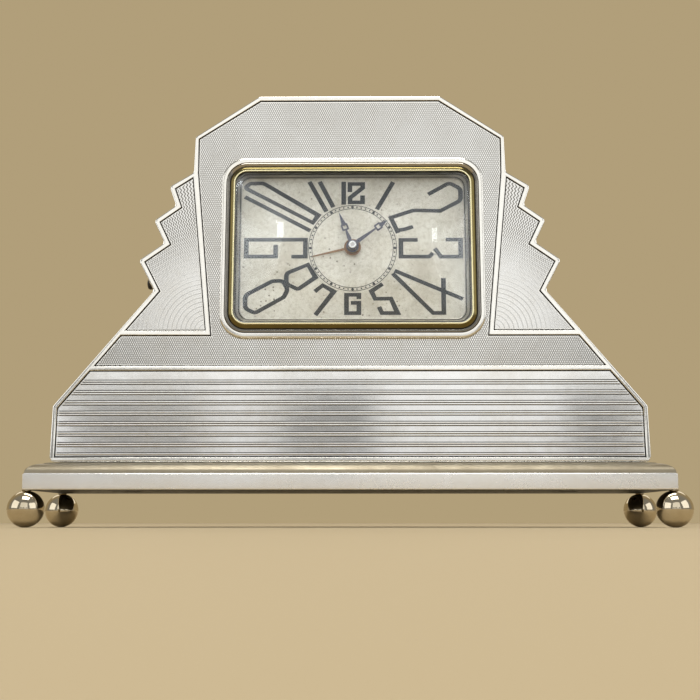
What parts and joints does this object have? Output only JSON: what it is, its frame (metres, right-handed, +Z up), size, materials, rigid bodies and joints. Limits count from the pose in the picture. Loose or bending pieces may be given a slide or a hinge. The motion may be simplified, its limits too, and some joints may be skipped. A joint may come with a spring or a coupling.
{
  "type": "mantel clock",
  "caption": "Stepped silver mantel clock on a plinth with ball feet, a rectangular dial, three hands and an alarm movement behind a rear door.",
  "frame": {"origin": "bottom centre of the whole clock, on the surface that it stands on", "axes": "+X to the right seen from the front, front faces -Y, +Z up"},
  "size_m": [0.266, 0.0622, 0.1792],
  "materials": {
    "silver_plate": "polished and engine-turned silver",
    "silver_polished": "polished silver",
    "gilt_brass": "polished gilt",
    "case_wood": "dark stained satin",
    "core_wood": "plain",
    "board_black": "black baize",
    "glass_clear": "clear polished",
    "sight_silver": "satin",
    "dial_silvered": "aged silvered",
    "numeral_ink": "matt printed",
    "blued_steel": "blued steel",
    "copper": "satin copper",
    "movement_brass": "lacquered brass",
    "movement_steel": "grey steel",
    "black_plastic": "black"
  },
  "bodies": {
    "case": {"case_body": "case_wood", "front_plate": "silver_plate", "base_shell": "silver_plate", "base_core": "core_wood", "base_board": "board_black", "foot_front_left": "silver_polished", "foot_front_right": "silver_polished", "foot_back_left": "silver_polished", "foot_back_right": "silver_polished", "bezel_surround": "silver_polished", "bezel": "gilt_brass", "glass": "glass_clear", "sight_ring": "sight_silver", "dial": "dial_silvered", "dial_numerals": "numeral_ink", "dial_track": "numeral_ink", "hinge_leaf": "movement_brass", "hinge_pin": "movement_brass", "case_screws": "movement_steel", "movement_front_plate": "movement_brass", "movement_back_plate": "movement_brass", "pillars": "movement_brass", "movement_screws": "blued_steel", "balance_cock": "movement_brass", "gong": "movement_steel"},
    "door": {"rear_door": "case_wood", "door_leaf": "movement_brass", "door_knob": "movement_brass"},
    "door_turn": {"door_turn": "movement_brass"},
    "alarm_stop": {"alarm_stop_button": "black_plastic"},
    "minute": {"centre_arbor": "movement_steel", "minute_hand": "blued_steel", "set_knob": "movement_brass"},
    "hour": {"hour_wheel": "movement_brass", "hour_hand": "blued_steel"},
    "minute_wheel": {"minute_wheel": "movement_brass"},
    "alarm_setting": {"alarm_wheel": "movement_brass", "alarm_hand": "copper"},
    "alarm_set": {"alarm_set_arbor": "movement_brass", "alarm_set_knob": "movement_brass"},
    "going_barrel": {"going_barrel": "movement_brass", "going_spring": "blued_steel"},
    "going_winder": {"going_arbor": "movement_steel", "going_key": "movement_brass"},
    "going_click": {"going_click": "blued_steel"},
    "alarm_barrel": {"alarm_barrel": "movement_brass", "alarm_spring": "blued_steel"},
    "alarm_winder": {"alarm_arbor": "movement_steel", "alarm_key": "movement_brass"},
    "alarm_click": {"alarm_click": "blued_steel"},
    "centre_wheel": {"centre_wheel": "movement_brass"},
    "third_wheel": {"third_wheel": "movement_brass"},
    "fourth_wheel": {"fourth_wheel": "movement_brass"},
    "escape_wheel": {"escape_wheel": "movement_brass"},
    "pallet_lever": {"pallet_lever": "movement_steel"},
    "balance": {"balance": "movement_brass", "hairspring": "blued_steel"},
    "regulator": {"regulator": "blued_steel"},
    "alarm_escape": {"alarm_escape": "movement_brass"},
    "hammer": {"hammer": "movement_steel"}
  },
  "joints": [
    {"name": "door_hinge", "type": "hinge", "parent": "case", "child": "door", "pos_m": [-0.0572, 0.0182, 0.1144], "axis": [0, 0, 1], "range_deg": [0, 110]},
    {"name": "door_turn_pivot", "type": "hinge", "parent": "case", "child": "door_turn", "pos_m": [0.0627, 0.016, 0.1144], "axis": [0, 1, 0], "range_deg": [-90, 90]},
    {"name": "alarm_stop_press", "type": "slide", "parent": "case", "child": "alarm_stop", "axis": [1, 0, 0], "range_m": [0, 0.003], "stiffness_N_per_m": 300},
    {"name": "hands_set", "type": "hinge", "parent": "case", "child": "minute", "pos_m": [0.0012, 0, 0.1144], "axis": [0, 1, 0], "continuous": true},
    {"name": "minute_wheel_spin", "type": "hinge", "parent": "case", "child": "minute_wheel", "pos_m": [0.0072, 0, 0.10401], "axis": [0, 1, 0], "continuous": true},
    {"name": "hour_spin", "type": "hinge", "parent": "case", "child": "hour", "pos_m": [0.0012, 0, 0.1144], "axis": [0, 1, 0], "continuous": true},
    {"name": "alarm_setting_spin", "type": "hinge", "parent": "case", "child": "alarm_setting", "pos_m": [0.0012, 0, 0.1144], "axis": [0, 1, 0], "continuous": true},
    {"name": "alarm_set_spin", "type": "hinge", "parent": "case", "child": "alarm_set", "pos_m": [-0.0138, 0, 0.1314], "axis": [0, 1, 0], "continuous": true},
    {"name": "centre_wheel_spin", "type": "hinge", "parent": "case", "child": "centre_wheel", "pos_m": [0.0012, 0, 0.1144], "axis": [0, 1, 0], "continuous": true},
    {"name": "going_barrel_spin", "type": "hinge", "parent": "case", "child": "going_barrel", "pos_m": [-0.0198, 0, 0.1079], "axis": [0, 1, 0], "continuous": true},
    {"name": "third_wheel_spin", "type": "hinge", "parent": "case", "child": "third_wheel", "pos_m": [-0.0013, 0, 0.12858], "axis": [0, 1, 0], "continuous": true},
    {"name": "fourth_wheel_spin", "type": "hinge", "parent": "case", "child": "fourth_wheel", "pos_m": [0.0106, 0, 0.1313], "axis": [0, 1, 0], "continuous": true},
    {"name": "escape_wheel_spin", "type": "hinge", "parent": "case", "child": "escape_wheel", "pos_m": [0.02053, 0, 0.12955], "axis": [0, 1, 0], "continuous": true},
    {"name": "pallet_swing", "type": "hinge", "parent": "case", "child": "pallet_lever", "pos_m": [0.0275, 0, 0.1298], "axis": [0, 1, 0], "range_deg": [-4, 4]},
    {"name": "balance_swing", "type": "hinge", "parent": "case", "child": "balance", "pos_m": [0.035, 0, 0.1301], "axis": [0, 1, 0], "range_deg": [-220, 220], "stiffness_Nm_per_rad": 0.0000005},
    {"name": "regulator_swing", "type": "hinge", "parent": "case", "child": "regulator", "pos_m": [0.035, 0, 0.1301], "axis": [0, 1, 0], "range_deg": [-25, 25]},
    {"name": "going_wind", "type": "hinge", "parent": "case", "child": "going_winder", "pos_m": [-0.0198, 0, 0.1079], "axis": [0, 1, 0], "continuous": true},
    {"name": "alarm_wind", "type": "hinge", "parent": "case", "child": "alarm_winder", "pos_m": [0.0242, 0, 0.1064], "axis": [0, 1, 0], "continuous": true},
    {"name": "going_click_lift", "type": "hinge", "parent": "case", "child": "going_click", "pos_m": [-0.02531, 0.008, 0.11576], "axis": [0, 1, 0], "range_deg": [-12, 0], "stiffness_Nm_per_rad": 0.0005},
    {"name": "alarm_click_lift", "type": "hinge", "parent": "case", "child": "alarm_click", "pos_m": [0.02925, 0.008, 0.11361], "axis": [0, 1, 0], "range_deg": [0, 12], "stiffness_Nm_per_rad": 0.0005},
    {"name": "alarm_barrel_spin", "type": "hinge", "parent": "case", "child": "alarm_barrel", "pos_m": [0.0242, 0, 0.1064], "axis": [0, 1, 0], "continuous": true},
    {"name": "alarm_escape_spin", "type": "hinge", "parent": "case", "child": "alarm_escape", "pos_m": [0.0347, 0, 0.1176], "axis": [0, 1, 0], "continuous": true},
    {"name": "hammer_swing", "type": "hinge", "parent": "case", "child": "hammer", "pos_m": [0.0398, 0, 0.1104], "axis": [0, 1, 0], "range_deg": [-8, 1.5], "stiffness_Nm_per_rad": 0.0005}
  ],
  "couplings": [
    {"joint": "minute_wheel_spin", "follows": "hands_set", "ratio": -0.33333},
    {"joint": "hour_spin", "follows": "hands_set", "ratio": 0.083333},
    {"joint": "alarm_set_spin", "follows": "alarm_setting_spin", "ratio": -2},
    {"joint": "going_barrel_spin", "follows": "centre_wheel_spin", "ratio": -0.15789},
    {"joint": "third_wheel_spin", "follows": "centre_wheel_spin", "ratio": -8},
    {"joint": "fourth_wheel_spin", "follows": "centre_wheel_spin", "ratio": 60},
    {"joint": "escape_wheel_spin", "follows": "centre_wheel_spin", "ratio": -480},
    {"joint": "alarm_escape_spin", "follows": "alarm_barrel_spin", "ratio": -4.8}
  ]
}
